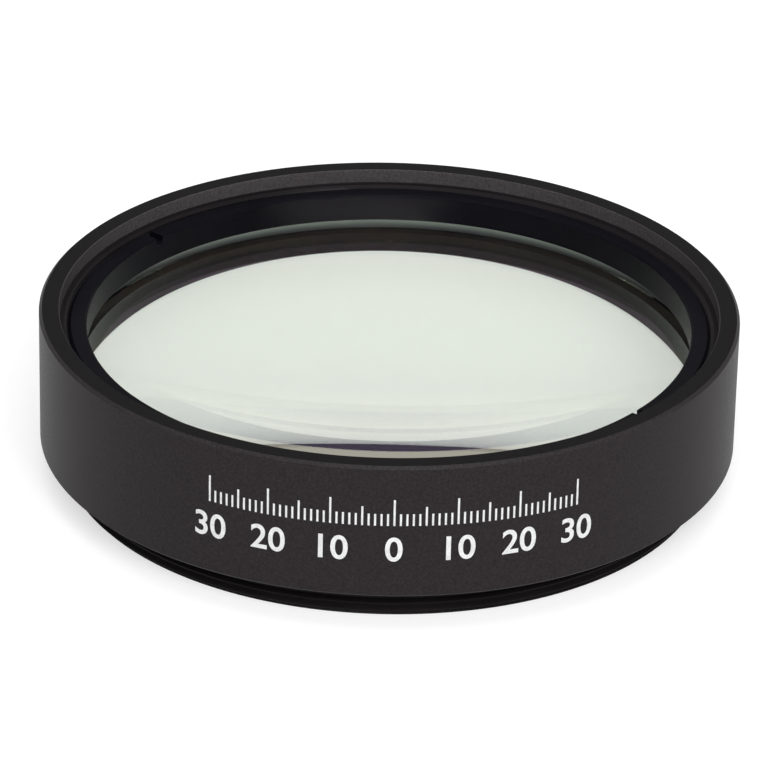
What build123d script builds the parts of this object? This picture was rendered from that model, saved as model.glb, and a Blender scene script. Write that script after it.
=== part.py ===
"""Mounted achromatic doublet lens.

A two-inch cemented doublet sits on a ledge in a black turned cell. A slotted ring, threaded into the
cell above it, clamps the glass. The strongly curved face looks up, out of the cell.

Frame: +Z is the optical axis, the origin is the centre of the cell's bottom edge. Millimetres.
"""
import os
from math import sqrt

from build123d import *

os.makedirs("parts", exist_ok=True)

# Glass
lens_radius = 25.4
front_curve = 160.0
cemented_curve = 133.7
rear_curve = 758.8
crown_thickness = 7.0
flint_thickness = 2.0
cement_film = 0.01
glass_bevel = 0.25

# Fits
lens_clearance = 0.1
contact_film = 0.01
ring_thread_clearance = 0.045

# Cell, across the axis
clamp_width = 1.25
thread_depth = 0.345
recess_step = 0.475
barrel_wall = 2.095
relief_depth = 0.5

# Cell, along the axis
seat_height = 3.48
spigot_length = 2.86
relief_width = 0.7
thread_below_ring = 0.8
ledge_above_ring = 0.16
recess_depth = 1.25

# Retaining ring
ring_height = 2.28
ring_outer_chamfer = 0.4
ring_inner_bevel = 0.15
slot_width = 0.8
slot_depth = 0.75
slot_angle = 142.2

# Edges of the cell
rim_chamfer = 0.25
shoulder_chamfer = 0.15
thread_chamfer = 0.35
aperture_chamfer = 0.3
edge_break = 0.08


def sag(curve, radius):
    """Height of a spherical surface's bulge over a circle of the given radius."""
    return curve - sqrt(curve**2 - radius**2)


# Radii that follow from the glass outwards
aperture_radius = lens_radius - clamp_width
bore_radius = lens_radius + lens_clearance
thread_radius = bore_radius + thread_depth
relief_radius = thread_radius - relief_depth
recess_radius = thread_radius + recess_step
barrel_radius = thread_radius + barrel_wall
ring_radius = thread_radius - ring_thread_clearance

# Heights of the glass: its rear face rests on the inner edge of the seat
rear_vertex_z = seat_height + contact_film - sag(rear_curve, aperture_radius)
flint_top_z = rear_vertex_z + flint_thickness
crown_bottom_z = flint_top_z + cement_film
crown_top_z = crown_bottom_z + crown_thickness

# Heights of the clamp and the rim: the ring's inner edge meets the front face
ring_bottom_z = crown_top_z - sag(front_curve, aperture_radius) + contact_film
ring_top_z = ring_bottom_z + ring_height
thread_end_z = ring_bottom_z - thread_below_ring
ledge_z = ring_top_z + ledge_above_ring
rim_z = ledge_z + recess_depth


# Cell: one turned piece with a threaded spigot below its shoulder
with BuildPart() as lens_mount:
    with BuildSketch(Plane.XZ):
        with BuildLine():
            Polyline(
                (aperture_radius, 0),
                (thread_radius, 0),
                (thread_radius, spigot_length - relief_width),
                (relief_radius, spigot_length - relief_width),
                (relief_radius, spigot_length),
                (barrel_radius, spigot_length),
                (barrel_radius, rim_z),
                (recess_radius, rim_z),
                (recess_radius, ledge_z),
                (thread_radius, ledge_z),
                (thread_radius, thread_end_z),
                (bore_radius, thread_end_z),
                (bore_radius, seat_height),
                (aperture_radius, seat_height),
                close=True,
            )
        make_face()
    revolve(axis=Axis.Z)

    cell_edges = lens_mount.edges().filter_by(GeomType.CIRCLE)
    bottom_edges = cell_edges.group_by(Axis.Z)[0].sort_by(SortBy.RADIUS)
    rim_edges = cell_edges.group_by(Axis.Z)[-1].sort_by(SortBy.RADIUS)
    shoulder_edge = cell_edges.group_by(SortBy.RADIUS)[-1].sort_by(Axis.Z)[0]
    chamfer(rim_edges[-1], length=rim_chamfer)
    chamfer(rim_edges[0], length=edge_break)
    chamfer(shoulder_edge, length=shoulder_chamfer)
    chamfer(bottom_edges[-1], length=thread_chamfer)
    chamfer(bottom_edges[0], length=aperture_chamfer)
lens_mount.part.label = "lens_mount"


# Retaining ring: two round-bottomed spanner slots cross its top face
with BuildPart() as retaining_ring:
    with BuildSketch(Plane.XY.offset(ring_bottom_z)):
        Circle(ring_radius)
        Circle(aperture_radius, mode=Mode.SUBTRACT)
    extrude(amount=ring_height)

    ring_top_edges = retaining_ring.edges().group_by(Axis.Z)[-1].sort_by(SortBy.RADIUS)
    ring_bottom_edges = retaining_ring.edges().group_by(Axis.Z)[0].sort_by(SortBy.RADIUS)
    chamfer(ring_top_edges[-1], length=ring_outer_chamfer)
    chamfer(ring_top_edges[0], length=ring_inner_bevel)
    chamfer(ring_bottom_edges[-1], length=ring_outer_chamfer)

    slot_plane = Plane(
        origin=(0, 0, ring_top_z),
        x_dir=Vector(0, 1, 0).rotate(Axis.Z, slot_angle),
        z_dir=Vector(1, 0, 0).rotate(Axis.Z, slot_angle),
    )
    with BuildSketch(slot_plane):
        with Locations((0, -slot_depth + slot_width / 2)):
            Circle(slot_width / 2)
            Rectangle(slot_width, slot_depth, align=(Align.CENTER, Align.MIN))
    extrude(amount=ring_radius + ring_outer_chamfer, both=True, mode=Mode.SUBTRACT)
retaining_ring.part.label = "retaining_ring"


# Front element: both faces bulge, and the lower one is cemented
with BuildPart() as crown_element:
    crown_edge_top_z = crown_top_z - sag(front_curve, lens_radius)
    crown_edge_bottom_z = crown_bottom_z + sag(cemented_curve, lens_radius)
    with BuildSketch(Plane.XZ):
        with BuildLine():
            Line((0, crown_bottom_z), (0, crown_top_z))
            RadiusArc((0, crown_top_z), (lens_radius, crown_edge_top_z), front_curve)
            Line((lens_radius, crown_edge_top_z), (lens_radius, crown_edge_bottom_z))
            RadiusArc((lens_radius, crown_edge_bottom_z), (0, crown_bottom_z), cemented_curve)
        make_face()
    revolve(axis=Axis.Z)
    crown_rims = crown_element.edges().filter_by(GeomType.CIRCLE).group_by(SortBy.RADIUS)[0]
    chamfer(crown_rims.sort_by(Axis.Z)[-1], length=glass_bevel)
crown_element.part.label = "crown_element"


# Rear element: a hollow upper face that fits the front element, and a nearly flat lower one
with BuildPart() as flint_element:
    flint_edge_top_z = flint_top_z + sag(cemented_curve, lens_radius)
    flint_edge_bottom_z = rear_vertex_z + sag(rear_curve, lens_radius)
    with BuildSketch(Plane.XZ):
        with BuildLine():
            Line((0, rear_vertex_z), (0, flint_top_z))
            RadiusArc((0, flint_top_z), (lens_radius, flint_edge_top_z), -cemented_curve)
            Line((lens_radius, flint_edge_top_z), (lens_radius, flint_edge_bottom_z))
            RadiusArc((lens_radius, flint_edge_bottom_z), (0, rear_vertex_z), rear_curve)
        make_face()
    revolve(axis=Axis.Z)
    flint_rims = flint_element.edges().filter_by(GeomType.CIRCLE).group_by(SortBy.RADIUS)[0]
    chamfer(flint_rims.sort_by(Axis.Z)[0], length=glass_bevel)
flint_element.part.label = "flint_element"


for piece in (lens_mount, retaining_ring, crown_element, flint_element):
    export_step(piece.part, f"parts/{piece.part.label}.step")
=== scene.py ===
import logging
import math
from dataclasses import dataclass, field
from enum import Enum

import bmesh
import bpy
from mathutils import Matrix, Vector


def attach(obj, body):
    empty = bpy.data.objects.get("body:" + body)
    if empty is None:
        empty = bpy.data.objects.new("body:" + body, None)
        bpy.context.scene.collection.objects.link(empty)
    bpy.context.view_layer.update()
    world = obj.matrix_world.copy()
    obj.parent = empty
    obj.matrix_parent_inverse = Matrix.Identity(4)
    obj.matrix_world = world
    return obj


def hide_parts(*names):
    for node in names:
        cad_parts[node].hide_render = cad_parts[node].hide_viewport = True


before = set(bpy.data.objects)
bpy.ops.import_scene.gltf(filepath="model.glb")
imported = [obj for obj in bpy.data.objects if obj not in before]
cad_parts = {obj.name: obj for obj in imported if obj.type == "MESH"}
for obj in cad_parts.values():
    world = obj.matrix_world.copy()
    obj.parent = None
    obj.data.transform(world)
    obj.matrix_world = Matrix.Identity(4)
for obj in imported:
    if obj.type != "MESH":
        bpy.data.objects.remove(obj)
log = logging.getLogger("mounted_doublet")

MM = 0.001
SEGMENTS = 360
WELD = 4e-7
FINE_WELD = WELD / 4
CREASE_DEGREES = 24.0
HALF_STEP = 0.5
WHITE = (1, 1, 1)

Socket = bpy.types.NodeSocket
Colour = tuple[float, float, float]
Place = tuple[float, float, float]
Profile = list[tuple[float, float]]
Feeds = dict[str | int, object]


class ThreadSide(Enum):
    """Which way a thread's crests point."""

    EXTERNAL = 1.0
    INTERNAL = -1.0


class ThreadEnd(Enum):
    """How a thread stops at one of its ends."""

    CHAMFERED = 0.0
    SQUARE = 1.0


@dataclass(frozen=True)
class MarkStyle:
    """A tool's lines in a metre of radius and of height, and how much the grain and the lines stand out."""

    across: float
    along: float
    grain_share: float
    line_share: float


class ToolMark(Enum):
    """What the last tool left on an anodised surface."""

    TURNED_AND_BLASTED = MarkStyle(2500, 9000, 1.0, 0.2)
    FACED = MarkStyle(15000, 4000, 0.25, 0.5)


class Wiring:
    """Adds nodes to a node tree and joins their sockets."""

    def __init__(self, tree: bpy.types.NodeTree) -> None:
        """Keeps the tree that nodes go into."""
        self.tree = tree

    def node(self, kind: str, feeds: Feeds | None = None, **settings: object) -> bpy.types.Node:
        """Adds a node.

        Args:
            kind: the node's type, such as ShaderNodeMath.
            feeds: sockets or plain values for its inputs.
            settings: properties to set on it first.

        Returns:
            The new node.
        """
        made = self.tree.nodes.new(kind)
        for name, value in settings.items():
            setattr(made, name, value)
        for key, value in (feeds or {}).items():
            self.feed(made.inputs[key], value)
        return made

    def feed(self, socket: Socket, value: object) -> None:
        """Joins another socket to this one, or sets its value.

        Args:
            socket: the input.
            value: a socket, or a plain value.
        """
        if isinstance(value, Socket):
            self.tree.links.new(value, socket)
        else:
            socket.default_value = value

    def math(self, operation: str, *terms: object) -> Socket:
        """Adds one step of arithmetic, its terms in order."""
        return self.node("ShaderNodeMath", dict(enumerate(terms)), operation=operation).outputs[0]

    def plus(self, first: object, second: object) -> Socket:
        """Adds two numbers."""
        return self.math("ADD", first, second)

    def minus(self, first: object, second: object) -> Socket:
        """Takes the second number from the first."""
        return self.math("SUBTRACT", first, second)

    def times(self, first: object, second: object) -> Socket:
        """Multiplies two numbers."""
        return self.math("MULTIPLY", first, second)

    def over(self, first: object, second: object) -> Socket:
        """Divides the first number by the second."""
        return self.math("DIVIDE", first, second)

    def split(self, vector: Socket) -> list[Socket]:
        """Takes a vector apart into its three numbers."""
        return list(self.node("ShaderNodeSeparateXYZ", {0: vector}).outputs)

    def ramp(self, value: object, low: float, high: float, out_low: float, out_high: float) -> Socket:
        """Maps a number from the range low to high onto the range out_low to out_high, clamped."""
        feeds = dict(enumerate((value, low, high, out_low, out_high)))
        return self.node("ShaderNodeMapRange", feeds, clamp=True).outputs[0]


class ShapeTree(Wiring):
    """A Geometry Nodes tree with named inputs that grows one mesh."""

    def __init__(self, name: str) -> None:
        """Makes an empty tree with a geometry input and output.

        Args:
            name: the tree's name.
        """
        super().__init__(bpy.data.node_groups.new(name, "GeometryNodeTree"))
        for way in ("INPUT", "OUTPUT"):
            self.tree.interface.new_socket("Geometry", in_out=way, socket_type="NodeSocketGeometry")
        self.entry = self.node("NodeGroupInput")
        self.exit = self.node("NodeGroupOutput")
        self.identifiers: dict[str, str] = {}

    def number(self, name: str, kind: str = "NodeSocketFloat") -> Socket:
        """Adds a named input.

        Args:
            name: the input's name.
            kind: its socket type.

        Returns:
            The socket inside the tree that gives its value.
        """
        item = self.tree.interface.new_socket(name, in_out="INPUT", socket_type=kind)
        self.identifiers[name] = item.identifier
        return self.entry.outputs[name]

    def grid_place(self, rows: Socket) -> tuple[Socket, Socket]:
        """Finds where a grid's point stands in the grid.

        Args:
            rows: how many points each column has.

        Returns:
            The point's column and its row.
        """
        index = self.node("GeometryNodeInputIndex").outputs[0]
        column = self.math("FLOOR", self.over(self.plus(index, HALF_STEP), rows))
        return column, self.minus(index, self.times(column, rows))

    def round_axis(self, radius: Socket, angle: Socket, height: Socket) -> Socket:
        """Places a point by its distance from the optical axis, its angle in radians and its height."""
        x, y = (self.times(radius, self.math(wave, angle)) for wave in ("COSINE", "SINE"))
        return self.node("ShaderNodeCombineXYZ", {0: x, 1: y, 2: height}).outputs[0]

    def roll_grid(self, segments: Socket, rows: Socket, position: Socket) -> Socket:
        """Rolls a grid round the axis and welds its seam.

        Args:
            segments: how many columns of faces go round.
            rows: how many points go along.
            position: each point's place.

        Returns:
            The welded mesh.
        """
        grid = self.node("GeometryNodeMeshGrid", {"Vertices X": self.plus(segments, 1), "Vertices Y": rows})
        moved = self.node("GeometryNodeSetPosition", {"Geometry": grid.outputs["Mesh"], "Position": position})
        welded = self.node("GeometryNodeMergeByDistance", {"Geometry": moved.outputs[0], "Distance": WELD})
        return welded.outputs[0]

    def close(self, mesh: Socket, finish: Socket) -> None:
        """Ends the tree in real, dressed geometry.

        Args:
            mesh: the finished geometry.
            finish: the material input.
        """
        real = self.node("GeometryNodeRealizeInstances", {0: mesh}).outputs[0]
        dressed = self.node("GeometryNodeSetMaterial", {"Geometry": real, "Material": finish})
        self.feed(self.exit.inputs[0], dressed.outputs[0])

    def grow(self, seed: bpy.types.Mesh, values: dict[str, object]) -> bpy.types.Mesh:
        """Runs the tree once and keeps the result as a plain mesh.

        Args:
            seed: the mesh that the tree starts from.
            values: the named inputs.

        Returns:
            The grown mesh.
        """
        host = put(seed, "growing")
        modifier = host.modifiers.new("grow", "NODES")
        modifier.node_group = self.tree
        for name, value in values.items():
            modifier[self.identifiers[name]] = value
        grown = plain_mesh(host)
        host.modifiers.remove(modifier)
        bpy.data.objects.remove(host)
        return grown


class TurnedTree(ShapeTree):
    """Turns a profile round the optical axis, as a lathe does."""

    def __init__(self) -> None:
        """Builds the tree: one grid column for each step round the axis."""
        super().__init__("turned profile")
        segments = self.number("Segments", "NodeSocketInt")
        finish = self.number("Finish", "NodeSocketMaterial")
        profile = self.entry.outputs["Geometry"]
        count = self.node("GeometryNodeAttributeDomainSize", {0: profile}, component="MESH")
        rows = count.outputs["Point Count"]
        column, row = self.grid_place(rows)
        place = self.node("GeometryNodeInputPosition").outputs[0]
        feeds = {"Geometry": profile, "Value": place, "Index": row}
        sample = self.node("GeometryNodeSampleIndex", feeds, data_type="FLOAT_VECTOR", domain="POINT")
        radius, _, height = self.split(sample.outputs[0])
        angle = self.over(self.times(column, 2 * math.pi), segments)
        self.close(self.roll_grid(segments, rows, self.round_axis(radius, angle, height)), finish)

    def turn(self, profile: Profile, finish: bpy.types.Material) -> bpy.types.Mesh:
        """Turns one profile.

        Args:
            profile: radius and height pairs in millimetres.
            finish: the material.

        Returns:
            The turned skin, open where the profile is.
        """
        seed = bpy.data.meshes.new("profile")
        seed.from_pydata([(r * MM, 0, z * MM) for r, z in profile], [], [])
        return self.grow(seed, {"Segments": SEGMENTS, "Finish": finish})


class ThreadTree(ShapeTree):
    """Cuts a right-handed helical thread wall whose rows follow the helix.

    The shares are of one pitch: flat crest, falling flank, flat root, rising flank.
    """

    ROWS_PER_TURN = 8
    END_ROWS = 3
    CREST_SHARE = 0.125
    ROOT_START = 0.5
    ROOT_END = 0.625

    def __init__(self) -> None:
        """Builds the tree: a grid whose rows climb one pitch in each turn, clamped at both ends."""
        super().__init__("helical thread wall")
        segments = self.number("Segments", "NodeSocketInt")
        sizes = ("Major Radius", "Depth", "Pitch", "Bottom", "Top", "Bottom End Radius", "Top End Radius")
        major, depth, pitch, bottom, top, low_end, high_end = (self.number(name) for name in sizes)
        ends = ("Side", "Bottom Square", "Top Square")
        side, low_square, high_square = (self.number(name) for name in ends)
        finish = self.number("Finish", "NodeSocketMaterial")

        turns = self.plus(self.math("CEIL", self.over(self.minus(top, bottom), pitch)), 1)
        rows = self.plus(self.times(turns, self.ROWS_PER_TURN), self.END_ROWS)
        column, row = self.grid_place(rows)
        share = self.over(column, segments)
        angle = self.times(share, 2 * math.pi)

        steps = self.minus(self.over(self.minus(row, 1), self.ROWS_PER_TURN), 1)
        climb = self.times(self.plus(steps, share), pitch)
        height = self.math("MINIMUM", self.math("MAXIMUM", self.plus(bottom, climb), bottom), top)
        first = self.math("LESS_THAN", row, HALF_STEP)
        last = self.math("GREATER_THAN", row, self.minus(rows, 1 + HALF_STEP))

        phase = self.math("FRACT", self.minus(self.over(height, pitch), share))
        fall = self.ramp(phase, self.CREST_SHARE, self.ROOT_START, 0, 1)
        rise = self.ramp(phase, self.ROOT_END, 1, 0, 1)
        cut = self.times(depth, self.minus(fall, rise))
        wall = self.times(self.minus(major, cut), side)
        low_limit = self.plus(self.times(low_end, side), self.minus(height, bottom))
        high_limit = self.plus(self.times(high_end, side), self.minus(top, height))
        limited = self.math("MINIMUM", self.plus(low_limit, low_square), self.plus(high_limit, high_square))
        radius = self.times(self.math("MINIMUM", wall, limited), side)
        for at_end, end_radius in ((first, low_end), (last, high_end)):
            radius = self.plus(radius, self.times(at_end, self.minus(end_radius, radius)))
        self.close(self.roll_grid(segments, rows, self.round_axis(radius, angle, height)), finish)


@dataclass(frozen=True)
class Thread:
    """One fine thread, 40 turns to the inch. Sizes are in millimetres."""

    major_radius: float
    bottom: float
    top: float
    bottom_end_radius: float
    top_end_radius: float
    side: ThreadSide
    bottom_end: ThreadEnd = ThreadEnd.CHAMFERED
    top_end: ThreadEnd = ThreadEnd.CHAMFERED
    depth: float = 0.345
    pitch: float = 0.635

    def cut(self, tree: ThreadTree, finish: bpy.types.Material) -> bpy.types.Mesh:
        """Grows the thread's wall.

        Args:
            tree: the thread's Geometry Nodes tree.
            finish: the material.

        Returns:
            A skin that starts and ends in plain circles.
        """
        return tree.grow(
            bpy.data.meshes.new("thread start"),
            {
                "Segments": SEGMENTS,
                "Major Radius": self.major_radius * MM,
                "Depth": self.depth * MM,
                "Pitch": self.pitch * MM,
                "Bottom": self.bottom * MM,
                "Top": self.top * MM,
                "Bottom End Radius": self.bottom_end_radius * MM,
                "Top End Radius": self.top_end_radius * MM,
                "Side": self.side.value,
                "Bottom Square": self.bottom_end.value,
                "Top Square": self.top_end.value,
                "Finish": finish,
            },
        )


class TickTree(ShapeTree):
    """Prints a row of scale ticks round a barrel."""

    LONG_EVERY = 10
    MIDDLE_EVERY = 5

    def __init__(self) -> None:
        """Builds the tree: flat ticks on a line, then bent round the barrel."""
        super().__init__("scale ticks")
        count = self.number("Count", "NodeSocketInt")
        places = ("Step Angle", "Centre Angle", "Barrel Radius", "Foot")
        step, centre, barrel, foot = (self.number(name) for name in places)
        sizes = ("Long", "Middle", "Short", "Width", "Ink")
        long, middle, short, width, ink = (self.number(name) for name in sizes)
        finish = self.number("Finish", "NodeSocketMaterial")
        index = self.node("GeometryNodeInputIndex").outputs[0]
        place = self.minus(index, self.over(self.minus(count, 1), 2))
        offset = self.math("ABSOLUTE", place)
        is_long, is_middle = (
            self.math("LESS_THAN", self.math("MODULO", offset, every), HALF_STEP)
            for every in (self.LONG_EVERY, self.MIDDLE_EVERY)
        )
        to_middle = self.times(is_middle, self.minus(middle, short))
        to_long = self.times(is_long, self.minus(long, middle))
        tall = self.plus(self.plus(short, to_middle), to_long)
        along = self.times(self.times(place, step), barrel)
        spot = self.node("ShaderNodeCombineXYZ", {0: along, 2: self.plus(foot, self.over(tall, 2))})
        points = self.node("GeometryNodePoints", {"Count": count, "Position": spot.outputs[0]})
        bar = self.node("GeometryNodeMeshCube", {"Size": (1, 1, 1)})
        scale = self.node("ShaderNodeCombineXYZ", {0: width, 1: ink, 2: tall})
        feeds = {"Points": points.outputs[0], "Instance": bar.outputs["Mesh"], "Scale": scale.outputs[0]}
        spread = self.node("GeometryNodeInstanceOnPoints", feeds)
        real = self.node("GeometryNodeRealizeInstances", {0: spread.outputs[0]})
        x, y, z = self.split(self.node("GeometryNodeInputPosition").outputs[0])
        angle = self.plus(centre, self.over(x, barrel))
        bent = self.round_axis(self.minus(barrel, y), angle, z)
        wrapped = self.node("GeometryNodeSetPosition", {"Geometry": real.outputs[0], "Position": bent})
        self.close(wrapped.outputs[0], finish)


class MaterialWiring(Wiring):
    """A material's node tree with the few pieces that the finishes share."""

    def __init__(self, name: str) -> None:
        """Makes a material with an empty tree and an output.

        Args:
            name: the material's name.
        """
        self.material = bpy.data.materials.new(name)
        self.material.use_nodes = True
        self.material.node_tree.nodes.clear()
        super().__init__(self.material.node_tree)
        self.output = self.node("ShaderNodeOutputMaterial")
        self.place = self.node("ShaderNodeTexCoord").outputs["Object"]

    def shader(self, **inputs: object) -> Socket:
        """Adds a Principled shader, its inputs named with underscores for spaces."""
        feeds = {name.replace("_", " "): value for name, value in inputs.items()}
        return self.node("ShaderNodeBsdfPrincipled", feeds).outputs[0]

    def clear(self, tint: object) -> Socket:
        """Adds a shader that lets light straight through."""
        return self.node("ShaderNodeBsdfTransparent", {0: tint}).outputs[0]

    def noise(
        self, scale: float, detail: float = 3.0, rough: float = 0.55, stretch: Place | None = None
    ) -> Socket:
        """Adds a noise pattern that is fixed to the piece.

        Args:
            scale: spots in a metre.
            detail: finer layers.
            rough: how strong they are.
            stretch: scale along each axis.

        Returns:
            The pattern's value.
        """
        place = self.place
        if stretch is not None:
            place = self.node("ShaderNodeMapping", {"Vector": place, "Scale": stretch}).outputs[0]
        feeds = {"Scale": scale, "Detail": detail, "Roughness": rough, "Vector": place}
        return self.node("ShaderNodeTexNoise", feeds).outputs[0]

    def spread(
        self, pattern: Socket, low: float, high: float, span: tuple[float, float] = (0.3, 0.7)
    ) -> Socket:
        """Stretches a pattern's values within the span over the range from low to high."""
        return self.ramp(pattern, *span, low, high)

    def axis_distance(self) -> Socket:
        """Gives a point's distance from the optical axis in metres."""
        x, y, _ = self.split(self.place)
        return self.math("SQRT", self.plus(self.math("POWER", x, 2), self.math("POWER", y, 2)))

    def axis_height(self) -> Socket:
        """Gives a point's height along the optical axis in metres."""
        return self.split(self.place)[2]

    def lathe_marks(self, style: MarkStyle) -> Socket:
        """Adds lines that run round the optical axis, as a lathe's tool leaves.

        Args:
            style: how close the lines are.

        Returns:
            The pattern's value.
        """
        radius = self.times(self.axis_distance(), style.across)
        height = self.times(self.axis_height(), style.along)
        feeds = {"W": self.plus(radius, height), "Scale": 1.0, "Detail": 2.0}
        return self.node("ShaderNodeTexNoise", feeds, noise_dimensions="1D").outputs[0]

    def mix(self, share: object, low: Colour | Socket, high: Colour | Socket) -> Socket:
        """Mixes two colours by the share that the second one has."""
        first, second = (end if isinstance(end, Socket) else (*end, 1) for end in (low, high))
        return self.node("ShaderNodeMix", {"Factor": share, 6: first, 7: second}, data_type="RGBA").outputs[2]

    def bump(self, height: Socket, strength: float, distance: float, under: Socket | None = None) -> Socket:
        """Turns a pattern into relief.

        Args:
            height: the pattern.
            strength: how much of it shows.
            distance: its depth in metres.
            under: relief that it lies on.

        Returns:
            The bent normal.
        """
        feeds = {"Height": height, "Strength": strength, "Distance": distance}
        if under is not None:
            feeds["Normal"] = under
        return self.node("ShaderNodeBump", feeds).outputs[0]

    def finish(self, surface: Socket) -> bpy.types.Material:
        """Joins the shader's socket to the output and gives the material."""
        self.feed(self.output.inputs["Surface"], surface)
        return self.material


@dataclass(frozen=True)
class ShadeBand:
    """A turned surface that is given its own painted tone, found by its radii and lowest height in
    millimetres.

    The tones are painted light and shade: they match how the surfaces look under the studio's lamps, and
    don't say that the dye differs.
    """

    colour: Colour
    inner_radius: float
    outer_radius: float
    lowest: float

    def share(self, wiring: MaterialWiring) -> Socket:
        """Finds the band.

        Args:
            wiring: the material's nodes.

        Returns:
            1 inside the band, else 0.
        """
        distance = wiring.axis_distance()
        inside = wiring.math("LESS_THAN", distance, self.outer_radius * MM)
        outside = wiring.math("GREATER_THAN", distance, self.inner_radius * MM)
        above = wiring.math("GREATER_THAN", wiring.axis_height(), self.lowest * MM)
        return wiring.times(wiring.times(inside, outside), above)


@dataclass(frozen=True)
class BlackAnodise:
    """Black anodised aluminium with the tool's marks under it, and turned rings of painted light and shade
    where given. Depths are in metres.
    """

    name: str
    dark: Colour
    light: Colour
    roughness: float
    tool_mark: ToolMark
    specular: float
    # turned rings of painted light and shade, laid over the dye
    bands: tuple[ShadeBand, ...] = ()
    cloud_scale: float = 140
    cloud_share: float = 0.6
    grain_scale: float = 5200
    grain_share: float = 0.4
    grain_depth: float = 6e-6
    mark_depth: float = 5e-6
    band_grain: tuple[float, float] = (0.72, 1.28)
    smoother: float = 0.05
    rougher: float = 0.06

    def make(self) -> bpy.types.Material:
        """Builds the material: cloudy dye, turned rings of painted light and shade, grain in the gloss, and
        fine relief.

        Returns:
            The material.
        """
        wiring = MaterialWiring(self.name)
        style = self.tool_mark.value
        cloud = wiring.noise(self.cloud_scale, 2.0)
        grain = wiring.noise(self.grain_scale, 2.0, 0.6)
        marks = wiring.lathe_marks(style)
        cover = wiring.plus(wiring.times(cloud, self.cloud_share), wiring.times(grain, self.grain_share))
        colour = wiring.mix(wiring.spread(cover, 0, 1, (0.35, 0.65)), self.dark, self.light)
        grainy = wiring.spread(grain, *self.band_grain)
        # painted light and shade: each ring of tone is laid over the dye
        for band in self.bands:
            shade = wiring.node("ShaderNodeVectorMath", {0: band.colour, "Scale": grainy}, operation="SCALE")
            colour = wiring.mix(band.share(wiring), colour, shade.outputs[0])
        gloss = wiring.spread(grain, self.roughness - self.smoother, self.roughness + self.rougher)
        relief = wiring.bump(grain, style.grain_share, self.grain_depth)
        relief = wiring.bump(marks, style.line_share, self.mark_depth, relief)
        return wiring.finish(
            wiring.shader(Base_Color=colour, Roughness=gloss, Normal=relief, Specular_IOR_Level=self.specular)
        )


@dataclass(frozen=True)
class LateExit:
    """Lets a ray out of the glass, tinted, where the renderer would soon end it and leave black.

    It is drawn and isn't optics: it opens past the critical angle, where glass reflects all light.
    """

    tint: Colour = (0.72, 0.7, 0.57)
    bounces: float = 7.5
    facing_shut: float = 0.2312
    facing_open: float = 0.2335


@dataclass(frozen=True)
class PolishedGlass:
    """A polished optical face that lets lamps through to what lies under it. Its film is in nanometres."""

    name: str
    index: float
    tint: Colour
    film: float = 0.0
    film_index: float = 1.38
    late_exit: LateExit | None = None
    haze_scale: float = 60
    haze: float = 0.012

    def make(self) -> bpy.types.Material:
        """Builds the material: clear glass with faint cleaning marks in its gloss.

        Returns:
            The material.
        """
        wiring = MaterialWiring(self.name)
        glass = wiring.shader(
            Base_Color=(*self.tint, 1),
            Roughness=wiring.spread(wiring.noise(self.haze_scale, 4.0), 0.0, self.haze, (0.35, 0.75)),
            IOR=self.index,
            Transmission_Weight=1.0,
            Thin_Film_Thickness=self.film,
            Thin_Film_IOR=self.film_index,
        )
        rays = wiring.node("ShaderNodeLightPath").outputs
        passes = wiring.math("MAXIMUM", rays["Is Shadow Ray"], rays["Is Diffuse Ray"])
        tint = (*self.tint, 1)
        if self.late_exit is not None:
            facing = wiring.node("ShaderNodeLayerWeight").outputs["Facing"]
            steep = wiring.ramp(facing, self.late_exit.facing_shut, self.late_exit.facing_open, 0, 1)
            late = wiring.math("GREATER_THAN", rays["Ray Depth"], self.late_exit.bounces)
            leaves = wiring.times(late, steep)
            passes = wiring.math("MAXIMUM", passes, leaves)
            tint = wiring.mix(leaves, self.tint, self.late_exit.tint)
        both = wiring.node("ShaderNodeMixShader", {0: passes, 1: glass, 2: wiring.clear(tint)})
        return wiring.finish(both.outputs[0])


@dataclass(frozen=True)
class CementedFace:
    """The front element's share of the cemented joint, which the rear element's face bends light for."""

    name: str = "cement_film"
    thin: Colour = (0.997, 0.998, 0.997)
    scale: float = 90

    def make(self) -> bpy.types.Material:
        """Builds the material: clear, with no bend of its own."""
        wiring = MaterialWiring(self.name)
        return wiring.finish(wiring.clear(wiring.mix(wiring.noise(self.scale), self.thin, WHITE)))


@dataclass(frozen=True)
class GroundEdge:
    """The fine-ground rim of the doublet: pale by the cemented joint and darker below it, as painted light
    and shade.
    """

    name: str
    joint_height: float
    fade: float = 3.2
    fade_power: float = 1.2
    dark: Colour = (0.018, 0.021, 0.026)
    light: Colour = (0.27, 0.3, 0.285)
    grain_scale: float = 3500
    grain_depth: float = 8e-6
    specular: float = 0.25

    def make(self) -> bpy.types.Material:
        """Builds the material: a frosted skin with grinding grain.

        Returns:
            The material.
        """
        wiring = MaterialWiring(self.name)
        grain = wiring.noise(self.grain_scale, 3.0, 0.6)
        low, joint = (self.joint_height - self.fade) * MM, self.joint_height * MM
        # painted light and shade: pale by the joint, fading to the dark colour below
        pale = wiring.math("POWER", wiring.ramp(wiring.axis_height(), low, joint, 0, 1), self.fade_power)
        pale = wiring.times(pale, wiring.spread(grain, 0.8, 1, (0.35, 0.65)))
        shader = wiring.shader(
            Base_Color=wiring.mix(pale, self.dark, self.light),
            Roughness=wiring.spread(grain, 0.5, 0.65),
            Normal=wiring.bump(grain, 0.3, self.grain_depth),
            Specular_IOR_Level=self.specular,
        )
        return wiring.finish(shader)


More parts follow.
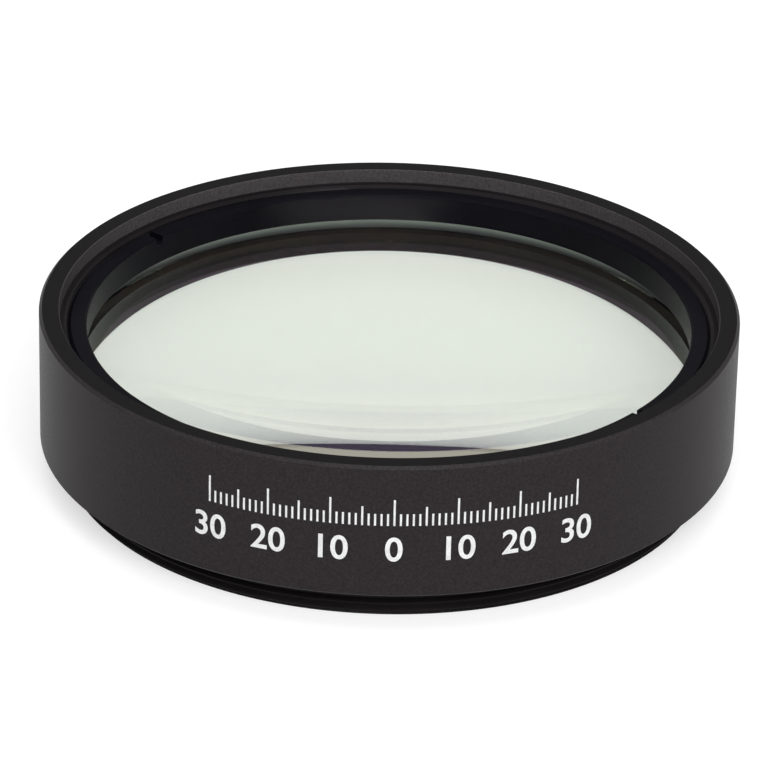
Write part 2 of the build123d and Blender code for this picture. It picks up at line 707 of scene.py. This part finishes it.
@dataclass(frozen=True)
class PrintedInk:
    """White ink printed on the barrel."""

    name: str = "white_ink"
    thin: Colour = (0.78, 0.79, 0.78)
    thick: Colour = (0.92, 0.93, 0.92)
    scale: float = 2600
    depth: float = 4e-6

    def make(self) -> bpy.types.Material:
        """Builds the material: matt ink of slightly uneven cover.

        Returns:
            The material.
        """
        wiring = MaterialWiring(self.name)
        cover = wiring.noise(self.scale, 3.0, 0.6)
        shader = wiring.shader(
            Base_Color=wiring.mix(wiring.spread(cover, 0, 1, (0.35, 0.6)), self.thin, self.thick),
            Roughness=wiring.spread(cover, 0.5, 0.6),
            Normal=wiring.bump(cover, 0.2, self.depth),
        )
        return wiring.finish(shader)


@dataclass(frozen=True)
class PaperFloor:
    """A white table top that the camera and the glass see as white, with the object's shadow on it."""

    name: str = "white_table"
    base: float = 0.55
    fibre_shade: float = 0.96
    fibre_scale: float = 700
    fibre_stretch: Place = (3.0, 0.5, 1.0)
    lift: float = 0.6
    lift_in_gloss: float = 0.3
    lift_through_glass: float = 0.49

    def make(self) -> bpy.types.Material:
        """Builds the material: a lit white surface with a little light of its own for the camera.

        Returns:
            The material.
        """
        wiring = MaterialWiring(self.name)
        fibre = wiring.noise(self.fibre_scale, 3.0, 0.6, self.fibre_stretch)
        colour = wiring.mix(wiring.spread(fibre, 0, 1), (self.base * self.fibre_shade,) * 3, (self.base,) * 3)
        lit = wiring.node("ShaderNodeBsdfDiffuse", {0: colour})
        rays = wiring.node("ShaderNodeLightPath").outputs
        straight = wiring.times(rays["Is Camera Ray"], self.lift)
        mirrored = wiring.times(rays["Is Glossy Ray"], self.lift_in_gloss)
        bent = wiring.times(rays["Is Transmission Ray"], self.lift_through_glass)
        strength = wiring.math("MAXIMUM", straight, wiring.math("MAXIMUM", mirrored, bent))
        glow = wiring.node("ShaderNodeEmission", {"Color": (*WHITE, 1), "Strength": strength})
        both = wiring.node("ShaderNodeAddShader", {0: lit.outputs[0], 1: glow.outputs[0]})
        return wiring.finish(both.outputs[0])


def put(mesh: bpy.types.Mesh, name: str) -> bpy.types.Object:
    """Adds a mesh to the scene as an object at the origin.

    Args:
        mesh: the finished mesh.
        name: the piece's name.

    Returns:
        The object.
    """
    mesh.name = name
    piece = bpy.data.objects.new(name, mesh)
    bpy.context.scene.collection.objects.link(piece)
    return piece


def plain_mesh(shape: bpy.types.Object) -> bpy.types.Mesh:
    """Gives a plain mesh of an object with its modifiers applied."""
    graph = bpy.context.evaluated_depsgraph_get()
    return bpy.data.meshes.new_from_object(shape.evaluated_get(graph), depsgraph=graph)


def settle(body: bmesh.types.BMesh, name: str, finish: bpy.types.Material) -> bpy.types.Mesh:
    """Makes an edited body a mesh of one finish.

    Args:
        body: the edited body, which is freed.
        name: the mesh's name.
        finish: the material.

    Returns:
        The mesh.
    """
    for face in body.faces:
        face.material_index = 0
    mesh = bpy.data.meshes.new(name)
    body.to_mesh(mesh)
    body.free()
    mesh.materials.append(finish)
    return mesh


def join_skins(skins: list[bpy.types.Mesh], name: str, finish: bpy.types.Material) -> bpy.types.Mesh:
    """Welds open skins into one closed mesh with crisp machined edges.

    Args:
        skins: meshes that meet in shared circles.
        name: the new mesh's name.
        finish: the material.

    Returns:
        The closed mesh, its faces outwards.
    """
    body = bmesh.new()
    for skin in skins:
        body.from_mesh(skin)
    bmesh.ops.remove_doubles(body, verts=body.verts, dist=WELD)
    bmesh.ops.dissolve_degenerate(body, edges=body.edges, dist=FINE_WELD)
    bmesh.ops.recalc_face_normals(body, faces=body.faces)
    crease_edges(body)
    return settle(body, name, finish)


def crease_edges(body: bmesh.types.BMesh) -> None:
    """Shades faces smooth and keeps machined edges sharp.

    Args:
        body: the mesh to shade.
    """
    limit = math.radians(CREASE_DEGREES)
    for face in body.faces:
        face.smooth = True
    for edge in body.edges:
        edge.smooth = len(edge.link_faces) == 2 and edge.calc_face_angle(0) < limit


def sag(curve: float, radius: float) -> float:
    """Gives the height of a spherical face's bulge over a circle, from the two radii."""
    return curve - math.sqrt(curve**2 - radius**2)


@dataclass
class CellSizes:
    """Heights and radii that the cell, the ring and the glass share, in millimetres."""

    lens_radius: float = 25.4
    aperture_radius: float = 24.15
    bore_radius: float = 25.5
    thread_radius: float = 25.845
    relief_radius: float = 25.345
    recess_radius: float = 26.32
    barrel_radius: float = 27.94
    ring_radius: float = 25.8
    seat_height: float = 3.48
    spigot_length: float = 2.86
    relief_width: float = 0.7
    front_curve: float = 160.0
    cemented_curve: float = 133.7
    rear_curve: float = 758.8
    crown_thickness: float = 7.0
    flint_thickness: float = 2.0
    gap: float = 0.01
    ring_height: float = 2.28
    ledge_above_ring: float = 0.16
    recess_depth: float = 1.25
    thread_below_ring: float = 0.8
    rear_vertex: float = field(init=False)
    joint_vertex: float = field(init=False)
    front_vertex: float = field(init=False)
    ring_bottom: float = field(init=False)
    ring_top: float = field(init=False)
    thread_end: float = field(init=False)
    ledge: float = field(init=False)
    rim: float = field(init=False)

    def __post_init__(self) -> None:
        """Works out the heights that follow from the glass upwards."""
        self.rear_vertex = self.seat_height + self.gap - sag(self.rear_curve, self.aperture_radius)
        self.joint_vertex = self.rear_vertex + self.flint_thickness
        self.front_vertex = self.joint_vertex + self.gap + self.crown_thickness
        self.ring_bottom = self.front_vertex - sag(self.front_curve, self.aperture_radius) + self.gap
        self.ring_top = self.ring_bottom + self.ring_height
        self.thread_end = self.ring_bottom - self.thread_below_ring
        self.ledge = self.ring_top + self.ledge_above_ring
        self.rim = self.ledge + self.recess_depth


@dataclass
class LensCell:
    """The black turned cell with its threaded spigot, seat and recess."""

    sizes: CellSizes
    lathe: TurnedTree
    threads: ThreadTree
    aperture_chamfer: float = 0.3
    thread_chamfer: float = 0.35
    shoulder_chamfer: float = 0.15
    rim_chamfer: float = 0.25
    edge_break: float = 0.08
    bore_thread_mouth: float = 25.9
    fillet: float = 0.05
    finish: BlackAnodise = BlackAnodise(
        name="cell_black_anodise_painted_light",
        dark=(0.009, 0.0076, 0.0085),
        light=(0.014, 0.012, 0.0132),
        roughness=0.38,
        tool_mark=ToolMark.TURNED_AND_BLASTED,
        specular=0.1,
        bands=(
            # painted light: the recess wall is paler
            ShadeBand((0.07, 0.064, 0.067), 26.2, 26.36, 12.8),
            # painted shade: the rim's flat face is darker
            ShadeBand((0.008, 0.007, 0.0075), 26.37, 27.685, 13.9),
            # painted highlight along the rim's chamfer
            ShadeBand((0.03, 0.0265, 0.029), 27.7, 27.93, 13.72),
            # painted sheen: the barrel is lighter
            ShadeBand((0.026, 0.022, 0.0245), 27.93, 28.1, 2.9),
        ),
    )

    def build(self) -> bpy.types.Object:
        """Turns the body, cuts both threads and welds them.

        Returns:
            The cell.
        """
        s = self.sizes
        black = self.finish.make()
        spigot_end = s.thread_radius - self.thread_chamfer
        groove = s.spigot_length - s.relief_width
        outside = [
            (s.relief_radius, groove),
            (s.relief_radius, s.spigot_length - self.fillet),
            (s.relief_radius + self.fillet, s.spigot_length),
            (s.barrel_radius - self.shoulder_chamfer, s.spigot_length),
            (s.barrel_radius, s.spigot_length + self.shoulder_chamfer),
            (s.barrel_radius, s.rim - self.rim_chamfer),
            (s.barrel_radius - self.rim_chamfer, s.rim),
            (s.recess_radius + self.edge_break, s.rim),
            (s.recess_radius, s.rim - self.edge_break),
            (s.recess_radius, s.ledge + self.fillet),
            (s.recess_radius - self.fillet, s.ledge),
            (self.bore_thread_mouth, s.ledge),
        ]
        inside = [
            (s.bore_radius, s.thread_end),
            (s.bore_radius, s.seat_height),
            (s.aperture_radius, s.seat_height),
            (s.aperture_radius, self.aperture_chamfer),
            (s.aperture_radius + self.aperture_chamfer, 0),
            (spigot_end, 0),
        ]
        spigot_thread = Thread(
            s.thread_radius,
            0,
            groove,
            spigot_end,
            s.relief_radius,
            ThreadSide.EXTERNAL,
            top_end=ThreadEnd.SQUARE,
        )
        bore_thread = Thread(
            s.thread_radius,
            s.thread_end,
            s.ledge,
            s.bore_radius,
            self.bore_thread_mouth,
            ThreadSide.INTERNAL,
            bottom_end=ThreadEnd.SQUARE,
        )
        skins = [
            self.lathe.turn(outside, black),
            self.lathe.turn(inside, black),
            spigot_thread.cut(self.threads, black),
            bore_thread.cut(self.threads, black),
        ]
        cell = put(join_skins(skins, "cell", black), "cell")
        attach(cell, "root")
        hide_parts("lens_mount")
        return cell


@dataclass
class RetainingRing:
    """The threaded ring that clamps the glass, with two round-bottomed spanner slots."""

    sizes: CellSizes
    lathe: TurnedTree
    threads: ThreadTree
    outer_chamfer: float = 0.4
    inner_bevel: float = 0.15
    slot_width: float = 0.8
    slot_depth: float = 0.75
    slot_angle: float = 142.2
    slot_sides: int = 24
    cutter_past_top: float = 1.0
    cutter_past_side: float = 2.0
    finish: BlackAnodise = BlackAnodise(
        name="ring_black_anodise",
        dark=(0.0035, 0.0033, 0.0052),
        light=(0.006, 0.0056, 0.0085),
        roughness=0.36,
        tool_mark=ToolMark.FACED,
        specular=0.06,
    )

    def slot_cutter(self) -> bpy.types.Object:
        """Makes the bar with a round underside that both slots are cut with.

        Returns:
            The cutter, right across the ring.
        """
        s = self.sizes
        radius = self.slot_width / 2
        centre = s.ring_top - self.slot_depth + radius
        top = s.ring_top + self.cutter_past_top
        outline = [(radius, top), (-radius, top)]
        for step in range(self.slot_sides + 1):
            turn = math.pi + math.pi * step / self.slot_sides
            outline.append((radius * math.cos(turn), centre + radius * math.sin(turn)))
        reach = s.ring_radius + self.cutter_past_side
        body = bmesh.new()
        ends = [[body.verts.new((x * MM, y * MM, z * MM)) for x, z in outline] for y in (-reach, reach)]
        for end in ends:
            body.faces.new(end)
        for k in range(len(outline)):
            n = (k + 1) % len(outline)
            body.faces.new((ends[0][k], ends[0][n], ends[1][n], ends[1][k]))
        body.transform(Matrix.Rotation(math.radians(self.slot_angle - 90), 4, "Z"))
        bmesh.ops.recalc_face_normals(body, faces=body.faces)
        mesh = bpy.data.meshes.new("slot cutter")
        body.to_mesh(mesh)
        body.free()
        return put(mesh, "slot cutter")

    def build(self) -> bpy.types.Object:
        """Turns the ring, cuts its thread, then its slots.

        Returns:
            The ring.
        """
        s = self.sizes
        black = self.finish.make()
        end_radius = s.ring_radius - self.outer_chamfer
        bore = [
            (end_radius, s.ring_top),
            (s.aperture_radius + self.inner_bevel, s.ring_top),
            (s.aperture_radius, s.ring_top - self.inner_bevel),
            (s.aperture_radius, s.ring_bottom + s.gap),
            (s.aperture_radius + s.gap, s.ring_bottom),
            (end_radius, s.ring_bottom),
        ]
        thread = Thread(s.ring_radius, s.ring_bottom, s.ring_top, end_radius, end_radius, ThreadSide.EXTERNAL)
        skins = [self.lathe.turn(bore, black), thread.cut(self.threads, black)]
        blank = put(join_skins(skins, "ring blank", black), "ring blank")
        cutter = self.slot_cutter()
        cut = blank.modifiers.new("slots", "BOOLEAN")
        cut.operation = "DIFFERENCE"
        cut.solver = "EXACT"
        cut.object = cutter
        slotted = plain_mesh(blank)
        bpy.data.objects.remove(blank)
        bpy.data.objects.remove(cutter)
        body = bmesh.new()
        body.from_mesh(slotted)
        crease_edges(body)
        ring = put(settle(body, "ring", black), "ring")
        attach(ring, "root")
        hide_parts("retaining_ring")
        return ring


@dataclass
class CementedDoublet:
    """The two elements of the achromat, cemented along one steep curve."""

    sizes: CellSizes
    lathe: TurnedTree
    steps: int = 48
    bevel: float = 0.25
    crown_index: float = 1.67
    flint_index: float = 1.8052
    front_film: tuple[float, float] = (320.0, 1.9)
    rear_film: tuple[float, float] = (154.0, 1.38)
    tint: Colour = (1.0, 1.0, 0.967)
    rim_width: float = 0.2
    slack: float = 0.001

    def arc(self, vertex: float, curve: float, bulge: float, reach: float) -> Profile:
        """Lists a spherical face's points outwards; the bulge is 1 where its edge lies higher, else -1."""
        radii = [reach * k / self.steps for k in range(self.steps + 1)]
        return [(r, vertex + bulge * sag(curve, r)) for r in radii]

    def element(
        self,
        name: str,
        node: str,
        profile: Profile,
        rim_row: int,
        finishes: list[bpy.types.Material],
    ) -> bpy.types.Object:
        """Turns one element and dresses its faces.

        Args:
            name: the piece's name.
            node: the CAD node that it stands for.
            profile: its profile, from the top centre round to the bottom centre.
            rim_row: the profile's row where the rim starts. It ends one row on.
            finishes: top, rim and bottom materials.

        Returns:
            The element.
        """
        mesh = join_skins([self.lathe.turn(profile, finishes[0])], name, finishes[0])
        for extra in finishes[1:]:
            mesh.materials.append(extra)
        rim_top, rim_bottom = profile[rim_row][1] + self.slack, profile[rim_row + 1][1] - self.slack
        rim_radius = self.sizes.lens_radius - self.rim_width
        body = bmesh.new()
        body.from_mesh(mesh)
        for face in body.faces:
            spot = face.calc_center_median() / MM
            if math.hypot(spot.x, spot.y) > rim_radius and rim_bottom < spot.z < rim_top:
                face.material_index = 1
            elif face.normal.z < 0:
                face.material_index = 2
        body.to_mesh(mesh)
        body.free()
        piece = put(mesh, name)
        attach(piece, "root")
        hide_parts(node)
        return piece

    def build(self) -> list[bpy.types.Object]:
        """Turns both elements.

        Returns:
            The front and the rear element.
        """
        s = self.sizes
        ground = GroundEdge("ground_edge_painted_light", s.joint_vertex + sag(s.cemented_curve, s.lens_radius)).make()
        coated = PolishedGlass("crown_face", self.crown_index, self.tint, *self.front_film, LateExit()).make()
        joint = PolishedGlass("flint_joint_face", self.flint_index / self.crown_index, WHITE).make()
        rear = PolishedGlass("flint_face", self.flint_index, self.tint, *self.rear_film).make()

        front_arc = self.arc(s.front_vertex, s.front_curve, -1, s.lens_radius - self.bevel)
        crown_joint = self.arc(s.joint_vertex + s.gap, s.cemented_curve, 1, s.lens_radius)
        front_edge = front_arc[-1][1] - self.bevel
        crown_profile = front_arc + [(s.lens_radius, front_edge)] + crown_joint[::-1]
        crown_faces = [coated, ground, CementedFace().make()]
        rim_row = len(front_arc)
        crown = self.element("crown", "crown_element", crown_profile, rim_row, crown_faces)

        flint_joint = self.arc(s.joint_vertex, s.cemented_curve, 1, s.lens_radius)
        rear_arc = self.arc(s.rear_vertex, s.rear_curve, 1, s.lens_radius - self.bevel)
        rear_edge = rear_arc[-1][1] + self.bevel
        flint_profile = flint_joint + [(s.lens_radius, rear_edge)] + rear_arc[::-1]
        flint_faces = [joint, ground, rear]
        rim_row = len(flint_joint) - 1
        flint = self.element("flint", "flint_element", flint_profile, rim_row, flint_faces)
        return [crown, flint]


@dataclass
class DegreeScale:
    """A plain white scale of degrees printed where the barrel faces forwards. Lengths are in millimetres."""

    barrel_radius: float
    ticks: TickTree
    half_span: int = 30
    step_degrees: float = 1.0
    number_every: int = 10
    centre_degrees: float = 271.5
    foot: float = 9.0
    long_tick: float = 2.2
    middle_tick: float = 1.6
    short_tick: float = 1.0
    tick_width: float = 0.16
    ink: float = 0.02
    number_height: float = 2.0
    number_foot: float = 6.0
    digit_share: float = 0.7
    stroke_gain: float = 0.04
    curve_steps: int = 6
    finish: PrintedInk = PrintedInk()

    def wrap(self, x: float, y: float, z: float) -> Place:
        """Bends a point of the flat print round the barrel.

        Args:
            x: distance along the print in metres.
            y: depth into the barrel in metres.
            z: height in metres.

        Returns:
            The point on the barrel.
        """
        angle = math.radians(self.centre_degrees) + x / (self.barrel_radius * MM)
        radius = self.barrel_radius * MM - y
        return radius * math.cos(angle), radius * math.sin(angle), z

    def number(self, value: int, degrees: float) -> bpy.types.Mesh:
        """Prints one number.

        Args:
            value: the number.
            degrees: where it stands, from the scale's middle.

        Returns:
            Its mesh, on the barrel.
        """
        text = bpy.data.curves.new("number", "FONT")
        text.body = str(value)
        text.align_x = "CENTER"
        text.size = self.number_height / self.digit_share * MM
        text.offset = self.stroke_gain * MM
        text.extrude = self.ink / 2 * MM
        text.resolution_u = self.curve_steps
        holder = bpy.data.objects.new("number", text)
        bpy.context.scene.collection.objects.link(holder)
        mesh = plain_mesh(holder)
        bpy.data.objects.remove(holder)
        along = math.radians(degrees) * self.barrel_radius * MM
        for vertex in mesh.vertices:
            x, up, out = vertex.co
            vertex.co = self.wrap(x + along, -out, up + self.number_foot * MM)
        return mesh

    def build(self) -> bpy.types.Object:
        """Prints the ticks and their numbers as one piece.

        Returns:
            The scale.
        """
        ink = self.finish.make()
        rows = self.ticks.grow(
            bpy.data.meshes.new("tick start"),
            {
                "Count": 2 * self.half_span + 1,
                "Step Angle": math.radians(self.step_degrees),
                "Centre Angle": math.radians(self.centre_degrees),
                "Barrel Radius": self.barrel_radius * MM,
                "Foot": self.foot * MM,
                "Long": self.long_tick * MM,
                "Middle": self.middle_tick * MM,
                "Short": self.short_tick * MM,
                "Width": self.tick_width * MM,
                "Ink": self.ink * MM,
                "Finish": ink,
            },
        )
        body = bmesh.new()
        body.from_mesh(rows)
        for mark in range(-self.half_span, self.half_span + 1, self.number_every):
            body.from_mesh(self.number(abs(mark), mark * self.step_degrees))
        bmesh.ops.remove_doubles(body, verts=body.verts, dist=FINE_WELD)
        bmesh.ops.recalc_face_normals(body, faces=body.faces)
        scale = put(settle(body, "degree_scale", ink), "degree_scale")
        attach(scale, "root")
        return scale


@dataclass(frozen=True)
class SoftBox:
    """One soft lamp that faces the object. Its place and size are in metres, its power in watts."""

    name: str
    place: Place
    width: float
    height: float
    power: float
    target: Place = (0, 0, 0.01)

    def hang(self) -> None:
        """Hangs the lamp, turned to the middle of the object."""
        light = bpy.data.lights.new(self.name, "AREA")
        light.shape = "RECTANGLE"
        light.size, light.size_y = self.width, self.height
        light.energy = self.power
        lamp = bpy.data.objects.new(self.name, light)
        lamp.location = self.place
        lamp.rotation_mode = "QUATERNION"
        lamp.rotation_quaternion = (Vector(self.place) - Vector(self.target)).to_track_quat("Z", "Y")
        bpy.context.scene.collection.objects.link(lamp)


@dataclass
class Studio:
    """The white table, the soft lamps and the room's light, whose levels change over two spans of height."""

    table_size: float = 3.0
    floor: PaperFloor = PaperFloor()
    lamps: tuple[SoftBox, ...] = (
        SoftBox("top_box", (0.0, 0.1, 0.8), 0.6, 0.6, 1.4),
        SoftBox("camera_side_box", (0.1, -0.6, 0.5), 0.5, 0.3, 4.4),
        SoftBox("left_box", (-0.75, -0.05, 0.25), 0.4, 0.4, 0.4),
        SoftBox("right_box", (0.75, 0.05, 0.25), 0.3, 0.3, 0.4),
    )
    horizon_level: float = 0.6
    middle_level: float = 0.14
    top_level: float = 0.5
    horizon_to_middle: tuple[float, float] = (0.12, 0.32)
    middle_to_top: tuple[float, float] = (0.55, 0.72)

    def table(self) -> None:
        """Lays the table top."""
        half = self.table_size / 2
        mesh = bpy.data.meshes.new("table")
        corners = [(-half, -half, 0), (half, -half, 0), (half, half, 0), (-half, half, 0)]
        mesh.from_pydata(corners, [], [(0, 1, 2, 3)])
        mesh.materials.append(self.floor.make())
        table = put(mesh, "table")

    def room(self) -> None:
        """Lights the room round the table: brighter near the table's edge and overhead than between."""
        world = bpy.data.worlds.new("studio room")
        world.use_nodes = True
        world.node_tree.nodes.clear()
        wiring = Wiring(world.node_tree)
        height = wiring.split(wiring.node("ShaderNodeTexCoord").outputs["Generated"])[2]
        low = wiring.ramp(height, *self.horizon_to_middle, self.horizon_level, self.middle_level)
        high = wiring.ramp(height, *self.middle_to_top, 0.0, self.top_level - self.middle_level)
        feeds = {"Color": (*WHITE, 1), "Strength": wiring.plus(low, high)}
        background = wiring.node("ShaderNodeBackground", feeds)
        wiring.node("ShaderNodeOutputWorld", {"Surface": background.outputs[0]})
        bpy.context.scene.world = world

    def build(self) -> None:
        """Sets up the table, the lamps and the room."""
        self.table()
        self.room()
        for lamp in self.lamps:
            lamp.hang()
        bpy.context.scene.view_settings.view_transform = "Standard"


@dataclass
class Viewpoint:
    """The photograph's camera, fitted to the barrel's circles at a chosen distance. Lengths are in metres."""

    elevation: float = 26.729
    distance: float = 0.420
    focal_pixels: float = 5221.0
    roll: float = 1.274
    image_width: float = 780.0
    sensor: float = 36.0
    aim: Place = (0.000216, 0.0, 0.006367)
    half_pixel: float = 0.00004
    near: float = 0.01
    far: float = 20.0

    def build(self) -> None:
        """Sets the camera up."""
        tilt, roll = math.radians(self.elevation), math.radians(self.roll)
        back = Vector((0, -math.cos(tilt), math.sin(tilt)))
        level, lifted = Vector((1, 0, 0)), Vector((0, math.sin(tilt), math.cos(tilt)))
        right = math.cos(roll) * level + math.sin(roll) * lifted
        top = math.cos(roll) * lifted - math.sin(roll) * level
        target = Vector(self.aim) - right * self.half_pixel + top * self.half_pixel
        data = bpy.data.cameras.new("view")
        data.sensor_width = self.sensor
        data.lens = self.focal_pixels / self.image_width * self.sensor
        data.clip_start, data.clip_end = self.near, self.far
        camera = bpy.data.objects.new("view", data)
        turn = Matrix((right, top, back)).transposed().to_4x4()
        camera.matrix_world = Matrix.Translation(target + back * self.distance) @ turn
        bpy.context.scene.collection.objects.link(camera)
        bpy.context.scene.camera = camera


def main() -> None:
    """Builds the part's pieces in order, then the studio and the camera."""
    logging.basicConfig(level=logging.INFO, format="%(name)s: %(message)s")
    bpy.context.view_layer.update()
    Viewpoint().build()
    sizes = CellSizes()
    lathe, threads = TurnedTree(), ThreadTree()
    pieces = [LensCell(sizes, lathe, threads).build(), RetainingRing(sizes, lathe, threads).build()]
    pieces += CementedDoublet(sizes, lathe).build()
    pieces.append(DegreeScale(sizes.barrel_radius, TickTree()).build())
    for piece in pieces:
        log.info("%s: %d faces", piece.name, len(piece.data.polygons))
    Studio().build()


if __name__ == "__main__":
    main()
